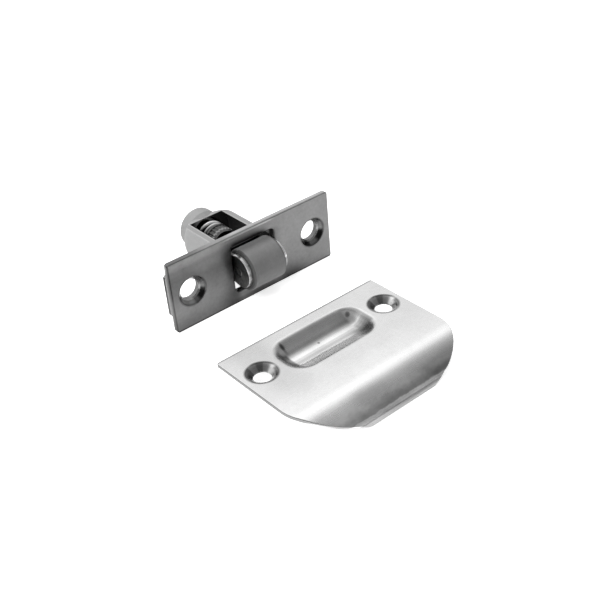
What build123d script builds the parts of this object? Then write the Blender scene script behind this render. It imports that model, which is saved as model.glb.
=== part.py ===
from build123d import *
import os
from math import acos, atan2, cos, hypot, pi, radians, sin, sqrt, tan

# Roller latch: a sprung roller that stands out of a face plate, with the strike plate that it drops into.
# Millimetres. X runs along the face plate, Y rearwards into the door, Z up.
# The origin is on the barrel axis, at the back face of the flange, which seats on the door.

# Face plate and its screws
plate_length = 57.15
plate_height = 22.2
plate_thickness = 1.7
plate_corner = 0.8
plate_edge_round = 0.3
screw_spacing = 43.7
flange_hole_radius = 3.2
countersink_radius = 4.5
countersink_angle = 82.0
slot_corner = 1.0
slot_edge_round = 0.8

# Roller, axle and yoke
roller_radius = 6.35
roller_length = 11.4
roller_edge = 0.6
roller_projection = 7.85
roller_travel = 4.2
axle_radius = 1.5
axle_chamfer = 0.25
yoke_thickness = 1.1
yoke_half_height = 5.0
yoke_tail_half_height = 3.4
yoke_bend = 0.5
yoke_edge_round = 0.25

# Stem, nut, washer and clip
stem_radius = 2.4
stem_neck_radius = 1.8
stem_tail = 1.1
stem_chamfer = 0.4
nut_radius = 4.5
nut_thickness = 3.3
nut_setback = 7.85
nut_chamfer = 0.7
knurl_count = 24
knurl_radius = 0.4
knurl_depth = 0.22
washer_radius = 4.7
washer_thickness = 0.8
washer_edge_round = 0.2
ring_radius = 4.3
ring_thickness = 0.8
ring_groove = 0.5
ring_mouth = 3.0
ring_notch = 1.0

# Spring
wire_diameter = 1.1
spring_radius = 4.1
spring_length = 9.4
spring_turns = 3.5
spring_end_closing = 0.36

# Case
flange_height = 13.4
flange_thickness = 1.6
flange_corner = 1.0
barrel_edge_wall = 0.5
barrel_wall = 1.6
shoulder_radius = 4.5
rear_wall = 0.7
roof_front = 5.0
boss_wall = 1.15
boss_floor = 1.5
boss_edge = 1.3
boss_root = 0.3

# Strike plate
strike_end_margin = 6.05
strike_thickness = 0.9
strike_edge_round = 0.25
strike_flat = 30.5
strike_corner = 0.8
lip_radius = 12.4
lip_angle = 46.0
lip_edge_radius = 4.0
lip_edge_angle = 34.0
lip_edge_land = 0.5
lip_corner_width = 17.0
lip_corner_lead = 4.3
strike_screw_spacing = 42.4
strike_screw_setback = 11.4
strike_hole_radius = 2.45
dimple_radius = 4.0
dimple_rim_radius = 2.0
dimple_depth = 1.5
dimple_land = 0.4
dimple_wall = 0.8
pocket_end_gap = 6.9
pocket_width = 13.9
pocket_corner = 5.4
pocket_depth = 2.5
pocket_end_run = 3.1
pocket_floor_width = 2.9
pocket_floor_corner = 1.4
pocket_setback = 11.4
pocket_rim_radius = 2.5
strike_distance = 26.1
strike_shift = -6.4

# Clearances
running_clearance = 0.05
face_gap = 0.05
clip_clearance = 0.02
roller_end_gap = 0.15
roller_back_gap = 0.6
slot_side_gap = 0.45
slot_end_gap = 0.95
guide_gap = 0.3
travel_gap = 0.45
washer_gap = 0.45
washer_bore_gap = 0.2
spring_gap = 0.55

# Places along the barrel axis, from the face plate to the end of the stem
plate_back = -flange_thickness
plate_front = plate_back - plate_thickness
axle_y = plate_front - roller_projection + roller_radius
yoke_front = axle_y + roller_radius + roller_back_gap
yoke_back = yoke_front + yoke_thickness
pocket_end = yoke_back + roller_travel + travel_gap
nut_front = yoke_back + nut_setback
nut_back = nut_front + nut_thickness
washer_front = nut_back + face_gap
washer_back = washer_front + washer_thickness
window_end = washer_back + roller_travel + washer_gap
spring_front = washer_back + face_gap
spring_seat = spring_front + spring_length
boss_end = spring_seat + boss_floor
ring_front = boss_end + face_gap
ring_back = ring_front + ring_thickness
stem_end = ring_back + stem_tail

# Half widths across the barrel
yoke_inside = roller_length / 2 + roller_end_gap
yoke_outside = yoke_inside + yoke_thickness
slot_width = 2 * (yoke_outside + slot_side_gap)
slot_height = 2 * (roller_radius + slot_end_gap)
cavity_half_width = yoke_outside + guide_gap
flat_half_height = yoke_half_height + guide_gap
barrel_radius = hypot(cavity_half_width, flat_half_height) + barrel_edge_wall
bore_radius = barrel_radius - barrel_wall
boss_bore_radius = spring_radius + wire_diameter / 2 + spring_gap
boss_radius = boss_bore_radius + boss_wall
groove_radius = stem_radius - ring_groove

# Taper of the yoke's arms, from the round end to the tail, and the roof that clears them when pushed in
tail_run = yoke_back - axle_y
taper_angle = atan2(yoke_tail_half_height, tail_run)
taper_angle += acos(yoke_half_height / hypot(tail_run, yoke_tail_half_height))
taper_y = yoke_half_height * cos(taper_angle)
taper_z = yoke_half_height * sin(taper_angle)
taper_slope = (taper_z - yoke_tail_half_height) / (tail_run - taper_y)
roof_half_height = yoke_tail_half_height + taper_slope * (yoke_back + roller_travel - roof_front) + guide_gap

# Rise of the spring's straight wire ends, and of its coils between them
end_pitch = (spring_length - wire_diameter) / spring_turns * (1 - spring_end_closing)
spring_lead = wire_diameter * end_pitch / (2 * pi * spring_radius)
spring_rise = spring_length - wire_diameter - 2 * spring_lead

# The strike reaches past its screws, its pocket lies between them, and its corners start ahead of the bend
strike_length = strike_screw_spacing + 2 * strike_end_margin
pocket_length = strike_screw_spacing - 2 * pocket_end_gap
pocket_floor_length = pocket_length - 2 * pocket_end_run
lip_corner_start = strike_flat - lip_corner_lead


def upright(y):
    """Plane square to the barrel axis: X to the right, Z up, facing forwards."""
    return Plane(origin=(0, y, 0), x_dir=(1, 0, 0), z_dir=(0, -1, 0))


def plate_between(sketch, front, back):
    return extrude(upright(back) * sketch, amount=back - front)


def rod(radius, front, back):
    return plate_between(Circle(radius), front, back)


def turned(points):
    """Solid of revolution about the barrel axis from points (radius, y)."""
    return revolve(make_face(Polyline(*points, close=True)), axis=Axis.Y)


def cross_pin(radius, half_length, y, z=0.0):
    pin = extrude(Plane.YZ * Pos(y, z) * Circle(radius), amount=half_length, both=True)
    return pin


def make_face_plate():
    outline = RectangleRounded(plate_length, plate_height, plate_corner)
    slot = RectangleRounded(slot_width, slot_height, slot_corner)
    plate = plate_between(outline, plate_front, plate_back)
    plate = fillet(plate.edges().filter_by_position(Axis.Y, plate_front, plate_front), plate_edge_round)
    plate -= plate_between(slot, plate_front, plate_back)
    slot_edges = plate.edges().filter_by_position(Axis.Y, plate_front, plate_front)
    slot_edges = slot_edges.filter_by(lambda edge: abs(edge.center().X) < slot_width / 2 + slot_corner)
    slot_edges = slot_edges.filter_by(lambda edge: abs(edge.center().Z) < slot_height / 2 + slot_corner / 2)
    plate = fillet(slot_edges, slot_edge_round)
    cone_end = countersink_radius - plate_thickness * tan(radians(countersink_angle / 2))
    cone = turned([(0, plate_front), (countersink_radius, plate_front), (cone_end, plate_back),
                   (0, plate_back)])
    for side in (-1, 1):
        plate -= Pos(X=side * screw_spacing / 2) * cone
    return plate


def make_latch_case():
    shoulder_center = barrel_radius - shoulder_radius
    shoulder_run = sqrt(shoulder_radius**2 - (bore_radius - shoulder_center)**2)
    shoulder_y = window_end + rear_wall - shoulder_run
    barrel_end = shoulder_y + shoulder_radius
    side = Polyline((0, barrel_end), (0, plate_back), (barrel_radius, plate_back), (barrel_radius, shoulder_y))
    shoulder = CenterArc((shoulder_center, shoulder_y), shoulder_radius, 0, 90)
    top = Line((shoulder_center, barrel_end), (0, barrel_end))
    barrel = revolve(make_face(side + shoulder + top), axis=Axis.Y)
    flats = Rectangle(2 * barrel_radius, 2 * flat_half_height)
    barrel &= plate_between(flats, plate_back, barrel_end)

    boss = turned([(0, window_end + boss_root), (flat_half_height, window_end + boss_root),
                   (boss_radius, barrel_end), (boss_radius, boss_end), (0, boss_end)])
    boss = fillet(boss.edges().filter_by_position(Axis.Y, boss_end, boss_end), boss_edge)
    ears = plate_between(RectangleRounded(plate_length, flange_height, flange_corner), plate_back, 0)
    case = barrel + boss + ears

    cavity = Rectangle(2 * cavity_half_width, 2 * plate_height)
    case -= plate_between(cavity, plate_back, roof_front)
    arm_slot = Rectangle(2 * cavity_half_width, 2 * roof_half_height)
    case -= plate_between(arm_slot, roof_front, pocket_end)
    case -= rod(bore_radius, roof_front, window_end)
    case -= rod(boss_bore_radius, window_end, spring_seat)
    case -= rod(stem_radius + running_clearance, spring_seat, boss_end)
    for place in (-1, 1):
        case -= Pos(X=place * screw_spacing / 2) * rod(flange_hole_radius, plate_back, 0)
    return case


def make_roller():
    roller = cross_pin(roller_radius, roller_length / 2, axle_y)
    roller = fillet(roller.edges().filter_by(GeomType.CIRCLE), roller_edge)
    return roller - cross_pin(axle_radius + running_clearance, roller_length / 2, axle_y)


def make_roller_axle():
    pin = cross_pin(axle_radius, yoke_outside, axle_y)
    return chamfer(pin.edges().filter_by(GeomType.CIRCLE), axle_chamfer)


def make_roller_yoke():
    """Bent strap: a base across the back of the roller and a round-ended arm at each end of it."""
    tip = axle_y - yoke_half_height
    outside = Pos(Y=(tip + yoke_back) / 2) * Rectangle(2 * yoke_outside, yoke_back - tip)
    inside = Pos(Y=(tip + yoke_front) / 2) * Rectangle(2 * yoke_inside, yoke_front - tip)
    outside = fillet(outside.vertices().group_by(Axis.Y)[-1], yoke_bend + yoke_thickness)
    inside = fillet(inside.vertices().group_by(Axis.Y)[-1], yoke_bend)
    strap = extrude(outside - inside, amount=yoke_half_height, both=True)

    arm = Pos(axle_y, 0) * Circle(yoke_half_height)
    taper = Polyline((0, -yoke_half_height / 2), (taper_y, -taper_z), (tail_run, -yoke_tail_half_height),
                     (tail_run, yoke_tail_half_height), (taper_y, taper_z), (0, yoke_half_height / 2), close=True)
    arm += Pos(axle_y, 0) * make_face(taper)
    strap &= extrude(Plane.YZ * arm, amount=yoke_outside, both=True)
    outer = strap.edges().filter_by(lambda edge: abs(edge.center().X) > yoke_outside - yoke_edge_round / 5)
    outer = outer.filter_by(lambda edge: abs((edge % 0.5).Z) < 0.999 or edge.geom_type == GeomType.CIRCLE)
    strap = fillet(outer, yoke_edge_round)
    strap -= cross_pin(axle_radius, yoke_outside, axle_y)
    return strap - rod(stem_neck_radius, yoke_front, yoke_back)


def make_plunger_stem():
    return turned([
        (0, yoke_front), (stem_neck_radius, yoke_front), (stem_neck_radius, yoke_back),
        (stem_radius, yoke_back), (stem_radius, ring_front - clip_clearance),
        (groove_radius, ring_front - clip_clearance), (groove_radius, ring_back + clip_clearance),
        (stem_radius, ring_back + clip_clearance), (stem_radius, stem_end - stem_chamfer),
        (stem_radius - stem_chamfer, stem_end), (0, stem_end)])


def make_tension_nut():
    """Round nut with a knurled rim, which a fingertip turns through the window."""
    nut = turned([(0, nut_front), (nut_radius - nut_chamfer, nut_front), (nut_radius, nut_front + nut_chamfer),
                  (nut_radius, nut_back), (0, nut_back)])
    nut -= rod(stem_radius + running_clearance, nut_front, nut_back)
    groove = Circle(knurl_radius)
    reach = nut_radius + knurl_radius - knurl_depth
    grooves = [place * groove for place in PolarLocations(reach, knurl_count)]
    return nut - plate_between(Sketch() + grooves, nut_front, nut_back)


def make_thrust_washer():
    washer = rod(washer_radius, washer_front, washer_back)
    washer = fillet(washer.edges().filter_by(GeomType.CIRCLE), washer_edge_round)
    return washer - rod(stem_radius + washer_bore_gap, washer_front, washer_back)


def make_retaining_ring():
    """Open clip that springs into the groove of the stem, with its mouth downwards."""
    ring = Circle(ring_radius) - Circle(groove_radius + clip_clearance)
    ring -= Pos(0, -ring_radius / 2) * Rectangle(ring_mouth, ring_radius)
    notch_reach = groove_radius + clip_clearance + ring_notch / 2
    for turn in (30, 150):
        notch = Circle(ring_notch)
        ring -= Pos(notch_reach * cos(radians(turn)), notch_reach * sin(radians(turn))) * notch
    return plate_between(ring, ring_front, ring_back)


def spring_point(turn):
    """Centre of the wire after a number of turns, with the end coils drawn closer than the middle ones."""
    share = turn / spring_turns
    drawn = share - spring_end_closing * sin(2 * pi * share) / (2 * pi)
    y = spring_front + wire_diameter / 2 + spring_lead + spring_rise * drawn
    angle = 2 * pi * turn
    return Vector(spring_radius * cos(angle), y, spring_radius * sin(angle))


def spring_tangent(turn):
    step = 1e-5
    return (spring_point(turn + step) - spring_point(turn - step)).normalized()


def biarc(start, start_way, end, end_way):
    """Two arcs that leave start and reach end in the given directions and meet without a corner."""
    chord = end - start
    ways = start_way + end_way
    a = ways.dot(ways) - 4
    b = -2 * chord.dot(ways)
    c = chord.dot(chord)
    reach = (-b - sqrt(b * b - 4 * a * c)) / (2 * a)
    first = start + start_way * reach
    second = end - end_way * reach
    middle = (first + second) * 0.5
    return [TangentArc(start, middle, tangent=start_way),
            TangentArc(middle, end, tangent=second - first)]


def make_return_spring():
    quarter = 0.25
    count = round(spring_turns / quarter)
    turns = [quarter * i for i in range(count + 1)]
    path = []
    for near, far in zip(turns, turns[1:]):
        path += biarc(spring_point(near), spring_tangent(near), spring_point(far), spring_tangent(far))
    first, last = spring_point(0), spring_point(turns[-1])
    lead_in = first - spring_tangent(0) * wire_diameter
    lead_out = last + spring_tangent(turns[-1]) * wire_diameter
    path = [Line(lead_in, first)] + path + [Line(last, lead_out)]
    wire = Wire(path)
    section = Plane(origin=lead_in, z_dir=spring_tangent(0)) * Circle(wire_diameter / 2)
    spring = sweep(section, path=wire)

    samples = [wire @ (i / 600) for i in range(601)]
    skip = round(600 * 0.5 / spring_turns)
    gaps = [(samples[i] - samples[j]).length - wire_diameter
            for i in range(601) for j in range(i + skip, 601)]
    print(f"return_spring: least gap to itself {min(gaps):.2f} mm, wire length {wire.length:.1f} mm")
    return spring


def dish(offset):
    """Loft of the pocket, which falls in a quarter sine from its mouth to its floor, or of its underside."""
    sections = []
    for share in (0, 0.25, 0.5, 0.75, 1):
        drop = pocket_depth * sin(share * pi / 2)
        fall = pocket_depth * cos(share * pi / 2) * pi / 2
        side_slope = atan2(2 * fall, pocket_width - pocket_floor_width)
        end_slope = atan2(2 * fall, pocket_length - pocket_floor_length)
        length = pocket_length + share * (pocket_floor_length - pocket_length)
        width = pocket_width + share * (pocket_floor_width - pocket_width)
        corner = pocket_corner + share * (pocket_floor_corner - pocket_corner)
        sketch = RectangleRounded(length + 2 * offset * sin(end_slope), width + 2 * offset * sin(side_slope),
                                  corner + offset * sin(side_slope))
        sections.append((Pos(Z=-drop - offset * cos(side_slope)) * sketch).face())
    return loft(sections)


def strike_outline(reach):
    """Plan of the strike: square at the back, with an elliptical corner at each side of the lip."""
    half = strike_length / 2
    shoulder = half - lip_corner_width
    corner_depth = reach - lip_corner_start
    right = EllipticalCenterArc((shoulder, -lip_corner_start), lip_corner_width, corner_depth,
                                start_angle=-90, arc_size=90)
    left = EllipticalCenterArc((-shoulder, -lip_corner_start), lip_corner_width, corner_depth,
                               start_angle=180, arc_size=90)
    outline = right + left + Line((-shoulder, -reach), (shoulder, -reach))
    outline += Polyline((half, -lip_corner_start), (half, 0), (-half, 0), (-half, -lip_corner_start))
    outline = make_face(outline)
    return fillet(outline.vertices().group_by(Axis.Y)[-1], strike_corner)


def make_strike_plate():
    """Stamped sheet, modelled with the middle of its back edge at the origin of its own top face."""
    bend_center = Vector(-strike_flat, -lip_radius)
    bend_end = radians(90 + lip_angle)
    edge_center = bend_center + Vector(cos(bend_end), sin(bend_end)) * (lip_radius - lip_edge_radius)
    flat = Line((0, 0), (-strike_flat, 0))
    bend = CenterArc(bend_center, lip_radius, 90, lip_angle)
    edge_bend = CenterArc(edge_center, lip_edge_radius, 90 + lip_angle, lip_edge_angle)
    land = Line(edge_bend @ 1, edge_bend @ 1 + (edge_bend % 1) * lip_edge_land)
    tip = land @ 1

    die = extrude(strike_outline(-tip.X), amount=2 * tip.Y, both=True)
    skin = []
    for line in (flat, bend, edge_bend, land):
        start = Pos(X=-strike_length / 2) * (Plane.YZ * line)
        strip = Face.extrude(start.edge(), (strike_length, 0, 0))
        skin += (strip & die).faces()
    sheet = Solid.thicken(Shell(skin), strike_thickness)
    crossing = (-strike_flat, (bend @ 1).X, (edge_bend @ 1).X)
    border = [edge for face in skin for edge in face.edges()
              if all(abs(edge.center().Y - y) > strike_thickness / 10 for y in crossing)
              or abs((edge % 0.5).X) < 0.99]
    rim = [edge for edge in sheet.edges() if any((edge @ 0.5 - line @ 0.5).length < 0.001 for line in border)]
    sheet = fillet(rim, strike_edge_round)

    pan_place = Pos(Y=-pocket_setback)
    margin = 2 * (pocket_rim_radius + strike_thickness)
    blank = RectangleRounded(pocket_length + margin, pocket_width + margin, pocket_corner + margin / 2)
    blank = extrude(blank, amount=-strike_thickness)
    hollow = dish(0)
    pan = blank + dish(strike_thickness) - hollow
    mouth = [edge for edge in pan.edges().filter_by_position(Axis.Z, 0, 0)
             if any((edge @ 0.5 - line @ 0.5).length < 0.001 for line in hollow.edges())]
    pan = fillet(mouth, pocket_rim_radius)
    sheet = sheet - pan_place * blank + pan_place * pan

    for side in (-1, 1):
        place = Pos(side * strike_screw_spacing / 2, -strike_screw_setback)
        lower = strike_hole_radius + dimple_wall
        upper = dimple_radius + dimple_wall
        land = place * Pos(Z=-dimple_depth - dimple_land / 2)
        sheet += place * Pos(Z=-dimple_depth / 2) * Cone(lower, upper, dimple_depth)
        sheet += land * Cylinder(lower, dimple_land)
        sheet -= place * Pos(Z=-dimple_depth / 2) * Cone(strike_hole_radius, dimple_radius, dimple_depth)
        sheet -= land * Cylinder(strike_hole_radius, dimple_land)
    mouths = sheet.edges().filter_by_position(Axis.Z, 0, 0).filter_by(GeomType.CIRCLE)
    mouths = mouths.filter_by(lambda edge: abs(edge.radius - dimple_radius) < 0.001)
    sheet = fillet(mouths, dimple_rim_radius)

    floor = -plate_height / 2
    lowest = sheet.bounding_box().min.Z
    return Pos(strike_shift, plate_front - strike_distance, floor - lowest) * sheet


parts = {
    "face_plate": make_face_plate(),
    "latch_case": make_latch_case(),
    "roller": make_roller(),
    "roller_axle": make_roller_axle(),
    "roller_yoke": make_roller_yoke(),
    "plunger_stem": make_plunger_stem(),
    "tension_nut": make_tension_nut(),
    "thrust_washer": make_thrust_washer(),
    "return_spring": make_return_spring(),
    "retaining_ring": make_retaining_ring(),
    "strike_plate": make_strike_plate(),
}

os.makedirs("parts", exist_ok=True)
for node, shape in parts.items():
    export_step(shape, f"parts/{node}.step")
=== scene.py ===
import bpy
import bmesh
import math
from mathutils import Matrix, Vector


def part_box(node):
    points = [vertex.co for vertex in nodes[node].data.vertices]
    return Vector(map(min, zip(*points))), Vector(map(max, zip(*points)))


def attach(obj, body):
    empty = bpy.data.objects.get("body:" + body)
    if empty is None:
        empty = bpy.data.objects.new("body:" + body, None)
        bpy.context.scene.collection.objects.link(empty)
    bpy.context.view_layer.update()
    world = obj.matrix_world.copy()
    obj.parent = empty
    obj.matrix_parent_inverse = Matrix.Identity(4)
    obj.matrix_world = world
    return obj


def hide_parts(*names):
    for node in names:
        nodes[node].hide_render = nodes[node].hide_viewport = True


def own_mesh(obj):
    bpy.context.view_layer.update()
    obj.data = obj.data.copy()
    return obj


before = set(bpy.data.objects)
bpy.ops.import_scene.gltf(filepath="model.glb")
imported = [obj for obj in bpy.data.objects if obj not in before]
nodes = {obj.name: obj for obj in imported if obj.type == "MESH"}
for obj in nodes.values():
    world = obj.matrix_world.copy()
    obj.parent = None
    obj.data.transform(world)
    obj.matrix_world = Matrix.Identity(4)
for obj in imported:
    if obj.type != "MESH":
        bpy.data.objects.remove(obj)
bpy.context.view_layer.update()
scene = bpy.context.scene
scene.view_settings.view_transform = "Standard"
mm = 0.001
print("frame loaded:", len(nodes), "pieces")


# a socket that does maths: each operator adds one Math node
class Sock:
    def __init__(self, tree, socket):
        self.tree, self.socket = tree, socket

    def math(self, operation, *values):
        return self.tree.node("ShaderNodeMath", {"operation": operation}, dict(enumerate(values)))

    def __add__(self, other): return self.math("ADD", self, other)
    def __radd__(self, other): return self.math("ADD", other, self)
    def __sub__(self, other): return self.math("SUBTRACT", self, other)
    def __rsub__(self, other): return self.math("SUBTRACT", other, self)
    def __mul__(self, other): return self.math("MULTIPLY", self, other)
    def __rmul__(self, other): return self.math("MULTIPLY", other, self)
    def __truediv__(self, other): return self.math("DIVIDE", self, other)
    def __pow__(self, other): return self.math("POWER", self, other)
    def __abs__(self): return self.math("ABSOLUTE", self)
    def atLeast(self, other): return self.math("MAXIMUM", self, other)
    def atMost(self, other): return self.math("MINIMUM", self, other)

    # 0 below low, 1 above high, smooth between; low above high turns it round
    def rise(self, low, high):
        flip = low > high
        return self.tree.node("ShaderNodeMapRange", {"interpolation_type": "SMOOTHSTEP"},
                              {"Value": self, "From Min": min(low, high), "From Max": max(low, high),
                               "To Min": 1.0 if flip else 0.0, "To Max": 0.0 if flip else 1.0})

    # 1 within inner of a place, 0 beyond outer
    def near(self, place, outer, inner):
        return abs(self - place).rise(outer, inner)


# a node tree with one way to add any node
class Tree:
    def __init__(self, tree):
        self.tree = tree

    def node(self, kind, settings, sockets, out=0):
        made = self.tree.nodes.new(kind)
        for name, value in settings.items():
            setattr(made, name, value)
        for name, value in sockets.items():
            if isinstance(value, Sock):
                self.tree.links.new(value.socket, made.inputs[name])
            else:
                made.inputs[name].default_value = value
        return Sock(self, made.outputs[out]) if made.outputs else None

    def parts(self, vector):
        made = self.node("ShaderNodeSeparateXYZ", {}, {0: vector}).socket.node
        return [Sock(self, made.outputs[i]) for i in range(3)]

    def join(self, x, y=0.0, z=0.0):
        return self.node("ShaderNodeCombineXYZ", {}, {0: x, 1: y, 2: z})

    def mix(self, share, low, high):
        return self.node("ShaderNodeMix", {"data_type": "FLOAT"}, {0: share, 2: low, 3: high})

    # noise about zero
    def noise(self, place, scale, detail, roughness=0.5):
        return self.node("ShaderNodeTexNoise", {}, {"Vector": place, "Scale": scale, "Detail": detail,
                                                    "Roughness": roughness}) - 0.5

    def ray(self, kind):
        return self.node("ShaderNodeLightPath", {}, {}, out=kind)


# an empty tree for a material or the world
def freshTree(owner):
    owner.use_nodes = True
    owner.node_tree.nodes.clear()
    return Tree(owner.node_tree)


# camera, at the photograph's own place and lens; the place is in millimetres
cameraPlace = {"place": (-139.54, -206.17, 150.07), "right": (0.7626, -0.6428, -0.0732),
               "up": (0.4065, 0.3882, 0.8271), "lens": 60.0, "sensor": 36.0, "clipStart": 0.01}


def setCamera():
    data = bpy.data.cameras.new("camera")
    data.lens = cameraPlace["lens"]
    data.sensor_width = cameraPlace["sensor"]
    data.clip_start = cameraPlace["clipStart"]
    camera = bpy.data.objects.new("camera", data)
    scene.collection.objects.link(camera)
    right = Vector(cameraPlace["right"]).normalized()
    back = right.cross(Vector(cameraPlace["up"])).normalized()
    turn = Matrix((right, back.cross(right), back)).transposed().to_4x4()
    camera.matrix_world = Matrix.Translation(Vector(cameraPlace["place"]) * mm) @ turn
    scene.camera = camera


# floor: lit up for the camera until only the shadow shows on white, and a little for reflections
floorLook = {"size": 3.0, "gap": 0.05, "colour": (0.84, 0.84, 0.84, 1.0), "seen": 0.7, "shine": 0.28}


def setFloor():
    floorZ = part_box("face_plate")[0].z
    bm = bmesh.new()
    bmesh.ops.create_grid(bm, x_segments=1, y_segments=1, size=floorLook["size"])
    bmesh.ops.translate(bm, verts=bm.verts, vec=(0, 0, floorZ - floorLook["gap"] * mm))
    mesh = bpy.data.meshes.new("floor")
    bm.to_mesh(mesh)
    bm.free()
    floor = bpy.data.objects.new("floor", mesh)
    scene.collection.objects.link(floor)
    mat = bpy.data.materials.new("whiteFloor")
    tree = freshTree(mat)
    share = tree.ray("Is Camera Ray") * floorLook["seen"] + tree.ray("Is Glossy Ray") * floorLook["shine"]
    plain = tree.node("ShaderNodeBsdfDiffuse", {}, {"Color": floorLook["colour"]})
    glow = tree.node("ShaderNodeEmission", {}, {"Color": share, "Strength": 1.0})
    both = tree.node("ShaderNodeAddShader", {}, {0: plain, 1: glow})
    tree.node("ShaderNodeOutputMaterial", {}, {"Surface": both})
    mesh.materials.append(mat)


# sky: dim in front, bright behind the latch, darker near the horizon, white to the camera
skyLook = {"top": 0.5, "front": 0.3, "back": 1.10, "band": 0.35, "horizonFront": 0.8, "horizonBack": 0.22}


def setSky():
    world = bpy.data.worlds.new("studio")
    scene.world = world
    tree = freshTree(world)
    y, z = tree.parts(tree.node("ShaderNodeTexCoord", {}, {}, out="Generated"))[1:]
    front = y.rise(-0.75, 0.1) * (skyLook["top"] - skyLook["front"]) + skyLook["front"]
    dome = tree.mix(y.rise(-0.05, 0.58), front, skyLook["back"])
    dome = dome * (1.0 + z.rise(0.6, 0.70) * y.rise(0.18, 0.42) * skyLook["band"])
    low = tree.mix(y.rise(-0.2, 0.3), skyLook["horizonFront"], skyLook["horizonBack"])
    tone = tree.mix(z.rise(0.08, 0.42), dome * low, dome)
    seen = tree.mix(tree.ray("Is Camera Ray"), tone, 1.0)
    sky = tree.node("ShaderNodeBackground", {}, {"Color": seen, "Strength": 1.0})
    tree.node("ShaderNodeOutputWorld", {}, {"Surface": sky})


# two soft lamps, in metres and watts, kept out of reflections so that the sheet metal doesn't clip to white
lamps = {"key": {"place": (-0.42, -0.16, 0.52), "size": 0.30, "power": 3.2},
         "top": {"place": (0.10, 0.10, 0.75), "size": 0.40, "power": 2.0}}
lampAim = (0, -0.02, 0)


def setLamps():
    for name, lamp in lamps.items():
        data = bpy.data.lights.new(name, "AREA")
        data.shape = "SQUARE"
        data.size = lamp["size"]
        data.energy = lamp["power"]
        light = bpy.data.objects.new(name, data)
        scene.collection.objects.link(light)
        light.location = lamp["place"]
        light.visible_glossy = False
        aim = Vector(lampAim) - Vector(lamp["place"])
        light.rotation_euler = aim.to_track_quat("-Z", "Y").to_euler()


setCamera()
setFloor()
setSky()
setLamps()
print("studio set: camera, floor, sky,", len(lamps), "lamps")

# the metal that every finish starts from
steelLook = {"tone": 0.3, "rough": 0.38, "metal": 1.0, "darkest": 0.004, "palest": 0.95, "smoothest": 0.08,
             "cloudScale": 140.0, "cloudDetail": (5.0, 0.62), "cloud": 0.3, "cloudRough": 0.2,
             "speckScale": 900.0, "speckDetail": (2.0, 0.7), "speck": 0.12, "speckLift": 0.1,
             "grainScale": (80, 2400, 2400), "grainDetail": 3.0, "grain": 0.1, "grainRough": 0.15,
             "grainLift": 0.35, "liftDepth": 0.02}


# one metal finish: clouds, specks and drawn grain on a tone, with a piece's own marks and painted light and
# shade over it
def metalFinish(name, look, marksAndShade=None):
    mat = bpy.data.materials.new(name)
    tree = freshTree(mat)
    place = tree.node("ShaderNodeTexCoord", {}, {}, out="Object")
    cloud = tree.noise(place, look["cloudScale"], *look["cloudDetail"])
    speck = tree.noise(place, look["speckScale"], *look["speckDetail"])
    drawn = tree.node("ShaderNodeMapping", {}, {"Vector": place, "Scale": look["grainScale"]})
    grain = tree.noise(drawn, 1.0, look["grainDetail"])
    tint = 1.0 + cloud * look["cloud"] + speck * look["speck"] + grain * look["grain"]
    rough = look["rough"] + cloud * look["cloudRough"] + grain * look["grainRough"]
    height = grain * look["grainLift"] + speck * look["speckLift"]
    if marksAndShade:
        x, y, z = (part / mm for part in tree.parts(place))  # each places its marks and painted light and shade in millimetres
        tint, rough, lift = marksAndShade(tree, x, y, z, tint, rough)
        height = height + lift
    tone = (tint * look["tone"]).atLeast(look["darkest"]).atMost(look["palest"])
    colour = tree.node("ShaderNodeCombineColor", {}, {0: tone, 1: tone, 2: tone})
    bump = tree.node("ShaderNodeBump", {},
                     {"Strength": 1.0, "Distance": look["liftDepth"] * mm, "Height": height})
    metal = tree.node("ShaderNodeBsdfPrincipled", {},
                      {"Base Color": colour, "Roughness": rough.atLeast(look["smoothest"]),
                       "Metallic": look["metal"], "Normal": bump})
    tree.node("ShaderNodeOutputMaterial", {}, {"Surface": metal})
    return mat


# a soft wedge round a hole: 1 near the given direction, 0 away from it, all in degrees
def wedge(u, v, turn, spread, soft=9):
    turn = math.radians(turn)
    reach = ((u * u + v * v) ** 0.5).atLeast(0.01)
    facing = (u * math.cos(turn) + v * math.sin(turn)) / reach
    return facing.rise(math.cos(math.radians(spread + soft)), math.cos(math.radians(spread - soft)))


# face plate: satin, with painted shade at its sheared edges and round the roller's slot
plateLook = dict(steelLook, tone=0.2, rough=0.34, cloud=0.6, speck=0.35)
plateMarks = {"side": 0.6, "sideUpper": 0.22, "sideBack": 0.2, "foot": 0.8, "footStrip": 0.42,
              "footRight": 0.26, "crown": 0.7, "crownLeft": 0.3, "gleam": 0.9, "slotHalf": (7.4, 7.3),
              "paintedShade": 0.45, "darkerLowMiddle": 0.2, "low": 0.5, "lowLeft": 0.5, "brow": 0.72, "browEdge": 0.18,
              "slotWall": 0.95, "sill": 0.25, "lighterTop": 0.75, "darkerMiddle": 0.34, "darkerMiddleStep": 1.7, "upper": 1.08,
              "fall": 0.1}
plateHoles = {"at": 21.85, "rim": 0.45, "darkReflection": 0.9, "darkReflectionWedge": (-34, 24), "darkReflectionRight": (-117, 15),
              "boreHighlight": 0.7, "lower": 1.4, "lowerWedge": (-120, 36), "lowerRough": 0.3, "coneRough": 0.1}


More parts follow.
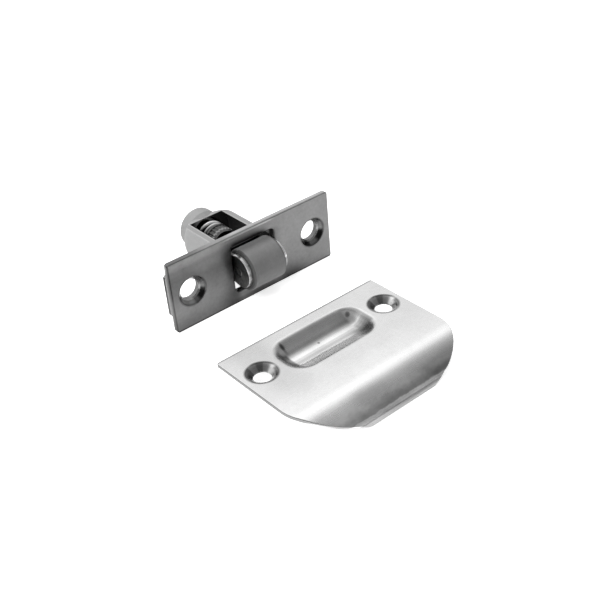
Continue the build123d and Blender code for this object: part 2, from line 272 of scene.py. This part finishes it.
def plateMarksAndShade(tree, x, y, z, tint, rough):
    m = plateMarks
    # painted shade on the sheared ends and lower edge, painted light on the top face turning to shade at its
    # left end, and a painted highlight under the upper edge
    side = abs(x).rise(28.15, 28.5) * tree.mix(y.rise(-2.1, -2.6), m["sideBack"], 1.0)
    side = side * (m["side"] + z.rise(-2.0, 3.0) * m["sideUpper"])
    strip = z.rise(-9.0, -10.2) * x.rise(-12.0, -7.0) * x.rise(20.0, 17.0)
    strip = strip * (m["footStrip"] - x.rise(6.0, 11.0) * m["footRight"])
    foot = (z.rise(-10.35, -10.75) * m["foot"]).atLeast(strip)
    crown = z.rise(10.8, 11.08) * (x.rise(-22.0, -13.0) - m["crownLeft"])
    crown = crown * (m["crown"] + x.rise(-10.0, -5.0) * y.rise(-3.0, -2.4))
    gleam = z.rise(10.2, 10.5) * z.rise(11.0, 10.8) * y.rise(-3.2, -3.28)
    gleam = gleam * x.rise(-12.0, -8.0) * x.rise(9.0, 5.0)
    tint = tint * (1.0 - side) * (1.0 - foot) * (1.0 + crown) * (1.0 + gleam * m["gleam"])

    # painted shade round the slot and above it, painted light on the sill below it, painted shade over the
    # lower plate either side of the slot, and darker across the lower middle
    beside, above = ((abs(part) - half).atLeast(0) for part, half in zip((x, z), m["slotHalf"]))
    paintedShade = ((beside ** 2 + above ** 2) ** 0.5).rise(5.0, 0.0) * x.rise(12.0, 5.0) * z.rise(8.6, 6.4)
    darkerLowMiddle = x.rise(-20.0, -8.0) * x.rise(9.0, 5.0) * z.rise(9.0, 3.0)
    low = z.rise(-4.5, -11.0) * abs(x).rise(6.0, 11.0) * x.rise(20.0, 13.0)
    low = low * (1.0 - x.rise(-8.0, -16.0) * m["lowLeft"])
    brow = (z.rise(10.0, 7.8) * m["brow"] + z.rise(8.8, 8.3) * m["browEdge"]) * x.near(-1.5, 7.5, 4.5)
    slotWall = y.rise(-3.28, -3.2) * z.rise(8.8, 8.3) * abs(x).rise(9.0, 8.4) * m["slotWall"]
    brow = brow.atLeast(slotWall) * z.rise(6.4, 7.0)
    sill = z.rise(-7.0, -7.4) * x.near(2.0, 9.5, 7.0)
    tint = tint * (1.0 - paintedShade * (1.0 - sill) * m["paintedShade"]) * (1.0 - darkerLowMiddle * m["darkerLowMiddle"]) * (1.0 - low * m["low"])

    # left half: lighter along the top, darker across the middle
    lighterTop = z.rise(7.6, 10.2) * z.rise(11.05, 10.7) * x.rise(-6.0, -13.0) * m["lighterTop"]
    darkerMiddle = (z + x.rise(-22.0, -17.0) * m["darkerMiddleStep"]).rise(8.6, 5.0) * z.rise(-4.5, 3.0)
    darkerMiddle = darkerMiddle * x.rise(-9.5, -13.0) * m["darkerMiddle"]
    # painted shade: the plate darker towards the bottom, and the shade above the slot
    tint = tint * (m["upper"] - z.rise(8.0, -10.0) * m["fall"]) * (1.0 - brow)
    tint = tint * (1.0 + sill * m["sill"] + lighterTop - darkerMiddle)

    # countersinks: painted shade on the rim, painted dark reflections in patches, a painted highlight in the
    # bore and painted light on the lower wedge of the left one
    m = plateHoles
    u = x - x.math("SIGN", x) * m["at"]
    bore = (u * u + z * z) ** 0.5
    cone = bore.rise(4.6, 4.45)
    rim = bore.rise(3.95, 4.35) * bore.rise(5.0, 4.5)
    boreHighlight = bore.rise(3.5, 3.3)
    lower = wedge(u, z, *m["lowerWedge"]) * x.rise(1, 0) * cone
    darkReflection = wedge(u, z, *m["darkReflectionWedge"]).atLeast(wedge(u, z, *m["darkReflectionRight"]) * x.rise(0, 1))
    darkReflection = darkReflection * bore.rise(4.5, 4.2) * (1.0 - boreHighlight)
    tint = tint * (1.0 - rim * m["rim"]) * (1.0 - darkReflection * m["darkReflection"])
    tint = tint * (1.0 + boreHighlight * m["boreHighlight"]) * (1.0 + lower * m["lower"])
    return tint, rough - cone * m["coneRough"] + lower * m["lowerRough"], 0.0


# case: matt zinc casting, darker on the boss, with painted shade inside and on its ears and painted
# highlights along the window's edges
caseLook = dict(steelLook, tone=0.33, rough=0.6, metal=0.2, cloud=0.16, speckScale=1600.0, speck=0.14,
                grainScale=(900, 120, 900), grain=0.14, grainLift=0.3, speckLift=0.5)
caseMarks = {"edge": 0.16, "ledge": 0.16, "ears": 0.2, "earEnd": 0.62, "earEndUpper": 0.16, "boss": 0.1,
             "inside": 0.96, "backWall": 0.7}


def caseMarksAndShade(tree, x, y, z, tint, rough):
    m = caseMarks
    ring = (x * x + z * z) ** 0.5
    # painted shade inside the barrel and bore, less of it on the back wall
    barrel = ring.rise(8.0, 7.93).atLeast(abs(x).rise(7.34, 7.28) * y.rise(8.0, 7.92))
    inside = barrel * abs(z).rise(5.28, 5.2) * y.rise(20.0, 19.92)
    inside = inside.atLeast(ring.rise(5.3, 5.22))
    backWall = y.rise(19.6, 19.85) * (x - y).rise(-17.4, -20.4) * x.rise(-5.0, -2.5)
    # painted highlights along the edges of the window's walls, painted shade on the ledge between them
    brim = abs(z).rise(5.0, 5.25) * y.rise(22.0, 21.0)
    edge = brim * abs(x).near(7.8, 0.3, 0.1).atLeast(abs(x).near(5.95, 0.3, 0.1))
    ledge = brim * abs(x).near(6.9, 0.8, 0.5)
    # painted shade on the ears and their ends
    earEnd = abs(x).rise(28.3, 28.5) * y.rise(-1.2, -0.7)
    earEnd = earEnd * (m["earEnd"] + z.rise(-2.0, 3.0) * m["earEndUpper"])
    ears = abs(x).rise(9.6, 10.2) * m["ears"] + earEnd
    boss = y.rise(20.5, 22.0) * m["boss"]
    tint = tint * (1.0 + edge * m["edge"]) * (1.0 - ledge * m["ledge"]) * (1.0 - ears) * (1.0 - boss)
    return tint * (1.0 - inside * (m["inside"] - backWall * m["backWall"])), rough, 0.0


# roller: turned, with rings round its own axis and painted shade on its rounded ends
rollerLook = dict(steelLook, tone=0.19, rough=0.5, metal=0.3, cloud=0.35, grainScale=(2600, 90, 90),
                  grain=0.16, speck=0.25)
rollerMarks = {"ends": 0.55, "rightEnd": 0.6}


def rollerShade(tree, x, y, z, tint, rough):
    ends = (abs(x).rise(5.25, 5.45) * rollerMarks["ends"]).atLeast(x.rise(4.9, 5.4) * rollerMarks["rightEnd"])
    return tint * (1.0 - ends), rough, 0.0


# yoke: dark stamped strap, rubbed through in flecks, lighter low on its arms, with a painted highlight along
# their upper edge and painted shade on its web
yokeLook = dict(steelLook, tone=0.1, rough=0.42, cloudScale=520.0, cloud=1.3, speckScale=1500.0, speck=1.0,
                grain=0.3, speckLift=1.2)
yokeMarks = {"axleAt": -4.8, "edgeLow": 0.9, "edgeMiddle": 1.9, "edgeTop": 7.0, "edgeTopRight": 8.0,
             "edgeRough": 0.1, "brightened": 2.0, "web": 0.9}


def yokeMarksAndShade(tree, x, y, z, tint, rough):
    m = yokeMarks
    # painted highlight along the arms' upper edge, strongest near the top and on the right arm
    edge = (((y - m["axleAt"]) ** 2 + z * z) ** 0.5).rise(4.66, 4.86) * y.rise(-2.4, -3.2)
    bright = m["edgeLow"] + z.rise(-3.2, -0.4) * m["edgeMiddle"]
    bright = bright + z.rise(0.6, 2.4) * (m["edgeTop"] + x.rise(0.0, 1.0) * m["edgeTopRight"])
    brightened = z.rise(1.5, -3.0) * abs(x).rise(6.7, 6.9) * m["brightened"]
    # painted shade on the web
    web = y.rise(0.6, 1.6) * m["web"]
    return tint * (1.0 + edge * bright + brightened) * (1.0 - web), rough - edge * m["edgeRough"], 0.0


# stem: threaded along the nut's reach, with painted shade on the thread and inside the case
stemLook = dict(steelLook, tone=0.2, rough=0.4)
stemThread = {"pitch": 0.8, "depth": 9.0, "front": 4.2, "back": 13.6, "fade": 0.3, "shade": 0.15, "paintedShade": 0.7}


def stemThreadAndShade(tree, x, y, z, tint, rough):
    m = stemThread
    turn = y / m["pitch"] * (2 * math.pi) + x.math("ARCTAN2", z, x)
    cut = y.rise(m["front"], m["front"] + m["fade"]) * y.rise(m["back"], m["back"] - m["fade"])
    wave = turn.math("SINE", turn) * cut
    # painted shade inside the case
    shadedInside = y.rise(3.0, 4.0) * y.rise(24.0, 22.0)
    return tint * (1.0 + wave * m["shade"]) * (1.0 - shadedInside * m["paintedShade"]), rough, wave * m["depth"]


# nut: painted shade on its front face, a painted highlight on the chamfer behind it
nutLook = dict(steelLook, tone=0.135, rough=0.42, cloud=0.5, cloudScale=400.0)
nutMarks = {"face": 0.9, "knurl": 0.8, "chamfer": 1.6}


def nutShade(tree, x, y, z, tint, rough):
    m = nutMarks
    ring = (x * x + z * z) ** 0.5
    face = y.rise(11.16, 11.12)
    chamfer = y.rise(12.7, 12.2) * ring.rise(3.7, 3.85) * (1.0 - face)
    return tint * (1.0 - face * m["face"]) * (m["knurl"] + chamfer * m["chamfer"]), rough, 0.0


# spring: drawn wire, with painted shade at its front turn, deep in the boss and on its left
springLook = dict(steelLook, tone=0.95, rough=0.36, cloudScale=400.0)
springMarks = {"deep": 0.2, "front": 0.3, "left": 0.5, "right": 0.6}


def springShade(tree, x, y, z, tint, rough):
    m = springMarks
    shaded = y.rise(18.6, 20.0) * m["deep"] + y.rise(16.9, 16.3) * m["front"]
    return tint * (1.0 - shaded) * (m["left"] + x.rise(-3.2, -0.2) * m["right"]), rough, 0.0


# axle, washer and clip: plain
axleLook = dict(steelLook, tone=0.16, rough=0.4, cloudScale=600.0, cloud=0.8)
washerLook = dict(steelLook, tone=0.13, rough=0.42, cloud=0.5, cloudScale=400.0)
clipLook = dict(steelLook, tone=0.05, rough=0.4)

# strike: satin sheet, with drawn lines along its lip and painted shade on its sheared edges
strikeLook = dict(steelLook, tone=0.66, rough=0.27, cloudScale=110.0, cloud=0.3, speck=0.14, grain=0.05)
strikeShape = {"middle": -6.4, "top": -4.581, "back": -30.3,
               "cornerStart": (10.25, 25.3), "cornerReach": (17.0, 14.37),
               "pocketAt": 10.3, "pocketHalf": (14.9, 7.5), "holeAt": (21.2, 10.5)}
lipMarks = {"edgeShade": 0.62, "edgeShadeRight": 0.18, "backEdge": 0.6, "lines": 1.3, "wander": 0.7,
            "crease": 0.3, "brightened": 0.4, "strip": 0.3, "stripRight": 0.25, "mottle": 0.9, "darkerLeftEnd": 0.15,
            "highlightBand": 0.12, "highlightLine": 0.14, "bowRight": 0.3, "bowLeft": 0.2, "rough": 0.06}
pocketMarks = {"backWallShade": 0.55, "backWallShadeTop": 0.22, "stripe": 0.2, "stripeLight": 0.32, "front": 0.32,
               "farEnd": 0.4, "farRim": 0.5, "nearEnd": 0.7, "crescent": 0.72, "fold": 0.6,
               "darkSpots": ((11.9, 6.1, 0.9, 0.7), (-10.2, 5.0, 1.0, 0.55), (-0.9, 8.8, 0.5, 0.6))}
dimpleMarks = {"rim": 0.4, "rimFar": 0.3, "rimWedge": (50, 42), "lower": 0.65, "lowerWedge": (-32, 28),
               "wedges": ((140, 32, 0.8), (62, 17, 0.75), (98, 30, 0.5), (44, 25, 0.55))}


# rolled lip and flat: middle and along are across and down the sheet, depth is below its top
def lipLinesAndShade(tree, place, middle, along, depth, tint):
    m = lipMarks
    x, y, z = place
    across = abs(middle)
    corner = [(part - start).atLeast(0) / reach for part, start, reach in
              zip((across, along), strikeShape["cornerStart"], strikeShape["cornerReach"])]
    corner = corner[0] ** 2 + corner[1] ** 2
    # painted shade on the sheared sides, corners and back edge
    edgeShade = across.rise(27.08, 27.2).atLeast(corner.rise(0.982, 0.99))
    edgeShade = edgeShade.atLeast(along.rise(-0.1, -0.35) * m["backEdge"]) * depth.rise(4.4, 3.8)
    tint = tint * (1.0 - edgeShade * (m["edgeShade"] + middle.rise(-12.0, 0.0) * m["edgeShadeRight"]))

    # edge strip with fine lines and painted shade, a wavy crease above it in painted shade, a painted lighter
    # band between the two, mottled between
    lip = along.rise(35.5, 36.5)
    lines = tree.noise(tree.join(x * 0.03, y, z), 1.3, 3.0)  # drawn out along the lip
    rolled = depth + tree.noise(tree.join(x * 0.35), 1.0, 2.0) * m["wander"]  # the roll wanders a little
    crease = rolled.rise(2.2, 3.4) * rolled.rise(4.15, 3.75) * lip
    strip = depth.rise(4.6, 5.0) * lip
    brightened = rolled.rise(3.75, 4.15) * (1.0 - strip) * lip
    tint = tint * (1.0 + (strip + brightened) * lines * m["lines"])
    tint = tint * (1.0 - crease * m["crease"]) * (1.0 + brightened * m["brightened"])
    tint = tint * (1.0 - strip * (m["strip"] + middle.rise(-12.0, 4.0) * m["stripRight"]))
    mottle = tree.noise(tree.join(x * 0.7, y, z), 0.4, 4.0) * depth.rise(0.8, 2.2) * depth.rise(4.4, 3.6)
    tint = tint * (1.0 + mottle * lip * m["mottle"])

    # darker left end, a painted highlight band before the lip, and painted shade and light bowing the lip's
    # tone from end to end
    darkerLeftEnd = middle.near(-18.5, 8.5, 1.5) * along.rise(28.0, 15.0) * m["darkerLeftEnd"]
    highlightBand = along.rise(20.0, 28.0) * along.rise(35.0, 31.0) * m["highlightBand"]
    highlightBand = highlightBand + along.near(31.0, 3.0, 0.8) * m["highlightLine"]
    bow = depth.rise(0.5, 2.0) * middle.rise(2.0, 14.0) * m["bowRight"]
    bow = bow - along.rise(31.0, 34.0) * middle.rise(-8.0, -16.0) * m["bowLeft"]
    return tint * (1.0 - darkerLeftEnd + highlightBand) * (1.0 - bow * (1.0 - strip)), lip


# pocket: painted shade on the back wall, at both ends and round the far rim, a painted dark and light line on
# the floor, painted light on the front wall; a dark spot is across, down, reach and amount
def pocketMarksAndShade(middle, along, tint):
    m = pocketMarks
    halfLength, halfWidth = strikeShape["pocketHalf"]
    bowl = (abs(middle) / halfLength) ** 4 + ((along - strikeShape["pocketAt"]) / halfWidth) ** 4
    backWallShade = (along.rise(10.0, 7.2) * m["backWallShade"] - along.rise(7.2, 6.0) * m["backWallShadeTop"]) * middle.rise(11.8, 10.4)
    stripe = along.near(11.7, 0.8, 0.2) * m["stripe"] - along.near(9.6, 1.0, 0.4) * m["stripeLight"]
    front = along.rise(11.9, 12.9) * middle.rise(9.0, 6.0) * -m["front"]
    farEnd = middle.rise(10.4, 11.6) * along.near(10.6, 1.6, 0.8) * m["farEnd"]
    nearEnd = middle.rise(-10.4, -11.2) * along.rise(6.8, 7.8) * m["nearEnd"]
    crescent = middle.rise(7.0, 11.5) * along.rise(11.0, 12.6) * m["crescent"]
    fold = middle.near(-10.2, 0.6, 0.2) * along.rise(8.4, 5.0) * m["fold"]
    dish = bowl.rise(1.0, 0.5)
    for mark in (backWallShade, stripe, front, farEnd, nearEnd, crescent, fold):
        tint = tint * (1.0 - dish * mark)
    farRim = bowl.rise(0.58, 0.75) * bowl.rise(1.02, 0.88) * middle.rise(9.5, 12.0) * along.rise(14.2, 12.8)
    tint = tint * (1.0 - farRim * m["farRim"])
    for across, down, reach, amount in m["darkSpots"]:
        spot = (middle - across) ** 2 + (along - down) ** 2
        tint = tint * (1.0 - spot.rise(reach ** 2, 0.0) * amount)
    return tint


# dimpled holes: painted shade on their rims and in wedges of turn, spread and amount
def dimpleShade(middle, along, tint):
    m = dimpleMarks
    holeAcross, holeDown = strikeShape["holeAt"]
    u, v = middle - middle.math("SIGN", middle) * holeAcross, holeDown - along
    bore = (u * u + v * v) ** 0.5
    rim = bore.rise(3.9, 4.3) * bore.rise(4.9, 4.5) * (m["rim"] + wedge(u, v, *m["rimWedge"]) * m["rimFar"])
    shade = wedge(u, v, *m["lowerWedge"]) * bore.rise(3.2, 3.7) * m["lower"]
    for turn, spread, amount in m["wedges"]:
        shade = shade.atLeast(wedge(u, v, turn, spread) * amount)
    return tint * (1.0 - rim) * (1.0 - bore.rise(4.6, 4.2) * shade)


def strikeMarksAndShade(tree, x, y, z, tint, rough):
    middle, along, depth = x - strikeShape["middle"], strikeShape["back"] - y, strikeShape["top"] - z
    tint, lip = lipLinesAndShade(tree, (x, y, z), middle, along, depth, tint)
    tint = dimpleShade(middle, along, pocketMarksAndShade(middle, along, tint))
    return tint, rough + lip * lipMarks["rough"], 0.0


finishes = {
    "face_plate": metalFinish("plateSatin", plateLook, plateMarksAndShade),
    "latch_case": metalFinish("caseZinc", caseLook, caseMarksAndShade),
    "roller": metalFinish("rollerTurned", rollerLook, rollerShade),
    "roller_axle": metalFinish("axleTurned", axleLook),
    "roller_yoke": metalFinish("yokeDark", yokeLook, yokeMarksAndShade),
    "plunger_stem": metalFinish("stemTurned", stemLook, stemThreadAndShade),
    "tension_nut": metalFinish("nutKnurled", nutLook, nutShade),
    "thrust_washer": metalFinish("washerPlain", washerLook),
    "return_spring": metalFinish("springWire", springLook, springShade),
    "retaining_ring": metalFinish("clipBlack", clipLook),
    "strike_plate": metalFinish("strikeSatin", strikeLook, strikeMarksAndShade),
}
for name, mat in finishes.items():
    mesh = nodes[name].data
    mesh.materials.clear()
    mesh.materials.append(mat)
print("finishes given to", len(finishes), "pieces")

# return spring: round wire, with a closed turn at each end and open turns between
springShape = {"wire": 1.1, "radius": 4.1, "front": 15.3, "back": 24.7, "turns": 3.5, "closedTurns": 1.0,
               "closedPitch": 1.16, "steps": 40, "sides": 14, "sortAlong": (0.317, 1.0, 0.173)}


def makeSpring():
    s = springShape
    closed = (s["closedTurns"], s["closedPitch"])
    openTurns = s["turns"] - 2 * s["closedTurns"]
    openRise = s["back"] - s["front"] - s["wire"] - 2 * s["closedTurns"] * s["closedPitch"]
    bm = bmesh.new()
    ring = bmesh.ops.create_circle(bm, cap_ends=True, segments=s["sides"], radius=s["wire"] / 2 * mm)["verts"]
    bmesh.ops.translate(bm, verts=ring, vec=Vector((s["radius"], s["front"] + s["wire"] / 2, 0)) * mm)
    wire = bm.verts[:] + bm.edges[:] + bm.faces[:]
    for turns, pitch in (closed, (openTurns, openRise / openTurns), closed):
        steps = round(turns * s["steps"])
        turned = bmesh.ops.spin(bm, geom=wire, cent=(0, 0, 0), axis=(0, -1, 0),
                                dvec=(0, turns * pitch / steps * mm, 0), angle=turns * 2 * math.pi,
                                steps=steps, use_merge=False, use_duplicate=False)
        wire = turned["geom_last"]
    bmesh.ops.recalc_face_normals(bm, faces=bm.faces)
    for face in bm.faces:
        face.smooth = True

    # the spin lists what it makes in another order each run, so it is sorted by place
    along = Vector(s["sortAlong"])
    bm.verts.sort(key=lambda vert: vert.co.dot(along))
    bm.faces.sort(key=lambda face: face.calc_center_median().dot(along))
    mesh = bpy.data.meshes.new("springTurns")
    bm.to_mesh(mesh)
    bm.free()
    spring = bpy.data.objects.new("springTurns", mesh)
    scene.collection.objects.link(spring)
    mesh.materials.append(finishes["return_spring"])
    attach(spring, "washer")
    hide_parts("return_spring")
    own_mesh(spring)
    print("spring wound:", len(mesh.polygons), "faces")


makeSpring()
